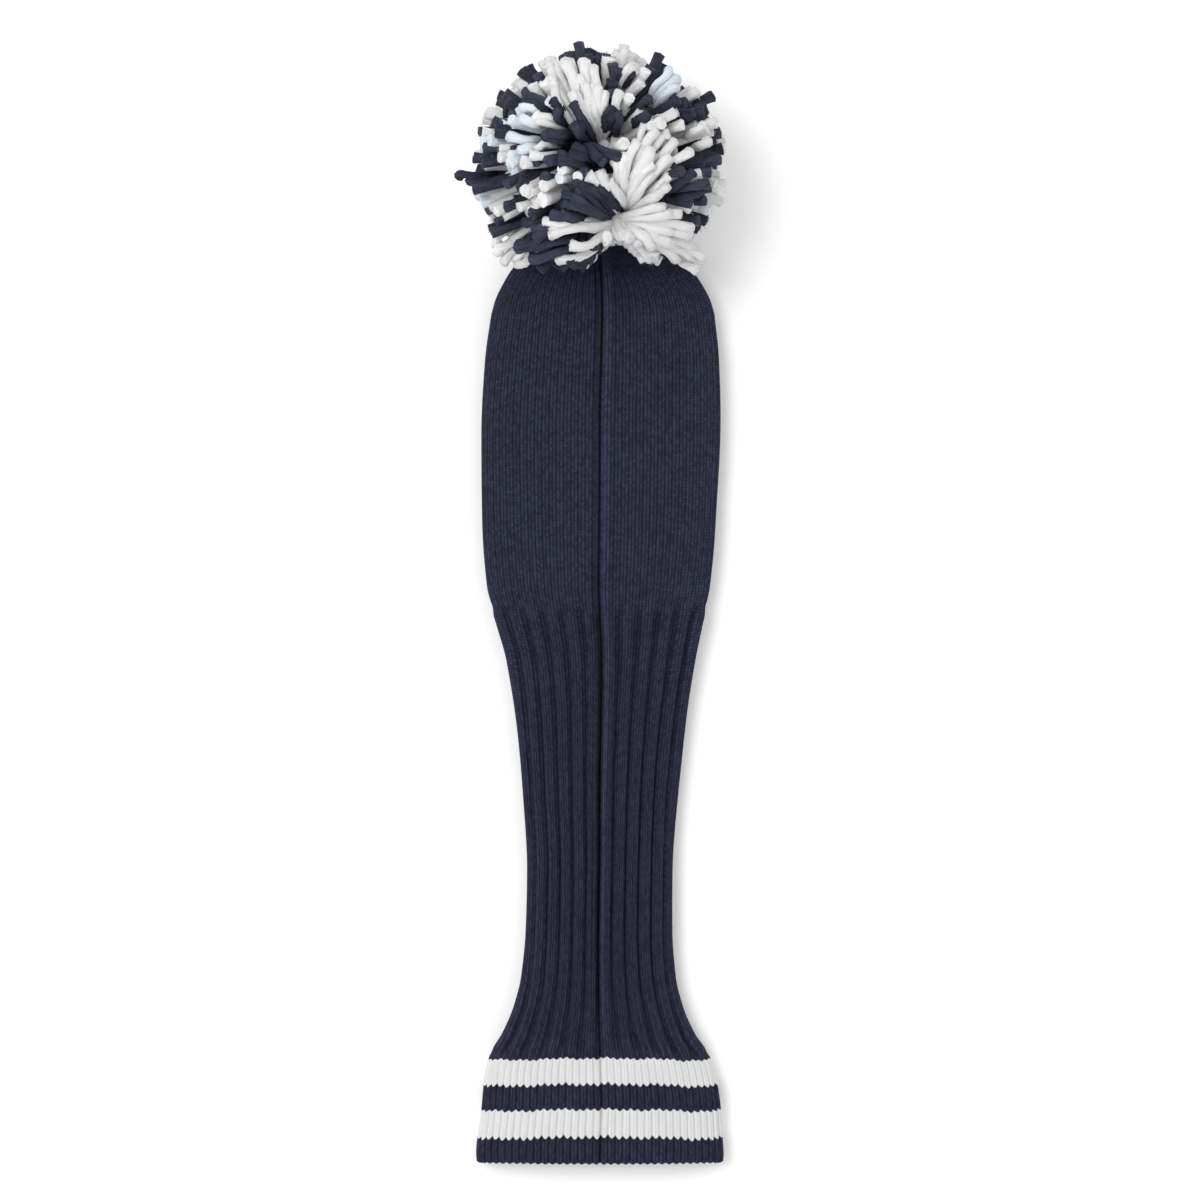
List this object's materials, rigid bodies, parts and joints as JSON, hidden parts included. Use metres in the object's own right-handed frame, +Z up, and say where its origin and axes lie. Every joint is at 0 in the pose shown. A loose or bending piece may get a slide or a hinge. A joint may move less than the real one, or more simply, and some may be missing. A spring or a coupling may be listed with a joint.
{
  "type": "driver head cover",
  "caption": "Knitted sock-shaped cover for a golf driver head, with a long ribbed neck, a striped ribbed hem and a yarn pom-pom tied to its crown.",
  "frame": {"origin": "on the surface the cover lies on, under the middle of its whole length", "axes": "+Y along the cover from the hem to the pom-pom, +Z up from the surface, with the centre-back seam on top, X across the flat cover"},
  "size_m": [0.102, 0.4578, 0.095],
  "materials": {
    "navy_knit": "matte heathered navy yarn, fine plain knit",
    "navy_rib": "matte heathered navy yarn, ribbed knit",
    "white_rib": "matte off-white yarn, ribbed knit",
    "seam_yarn": "matte navy sewing yarn",
    "lining": "matte dark brushed lining",
    "tie_yarn": "matte off-white plied yarn",
    "pom_navy": "matte navy pom-pom yarn, cut ends",
    "pom_white": "matte off-white pom-pom yarn, cut ends",
    "pom_ice": "matte pale ice-blue pom-pom yarn, cut ends"
  },
  "bodies": {
    "head": {"sleeve_knit": "navy_knit", "sleeve_seam": "seam_yarn", "crown_gather_yarn": "seam_yarn", "neck_transition": "navy_knit", "transition_seam": "seam_yarn", "head_lining": "lining", "lining_binding": "lining"},
    "neck": {"neck_rib": "navy_rib", "neck_seam": "seam_yarn", "hem_edge_navy": "navy_rib", "hem_white_lower": "white_rib", "hem_navy_middle": "navy_rib", "hem_white_upper": "white_rib", "hem_seam": "seam_yarn"},
    "tie": {"tie_knot": "tie_yarn"},
    "core": {"tie_cord": "tie_yarn", "core_binding": "tie_yarn"},
    "pom": {"pom_yarn_navy": "pom_navy", "pom_yarn_white": "pom_white", "pom_yarn_ice": "pom_ice"}
  },
  "joints": [
    {"name": "neck_bend", "type": "hinge", "parent": "head", "child": "neck", "pos_m": [0, -0.00013, 0.011], "axis": [-1, 0, 0], "range_deg": [0, 60], "deforming": ["neck_transition", "transition_seam"]},
    {"name": "pom_sway", "type": "hinge", "parent": "head", "child": "tie", "pos_m": [0, 0.15034, 0.01491], "axis": [0, 0, 1], "range_deg": [-20, 20]},
    {"name": "pom_tilt", "type": "hinge", "parent": "tie", "child": "core", "pos_m": [0, 0.15241, 0.01709], "axis": [1, 0, 0], "range_deg": [0, 20]},
    {"name": "pom_twist", "type": "hinge", "parent": "core", "child": "pom", "pos_m": [0, 0.17893, 0.045], "axis": [0, 0.6887, 0.725], "range_deg": [-45, 45]}
  ]
}
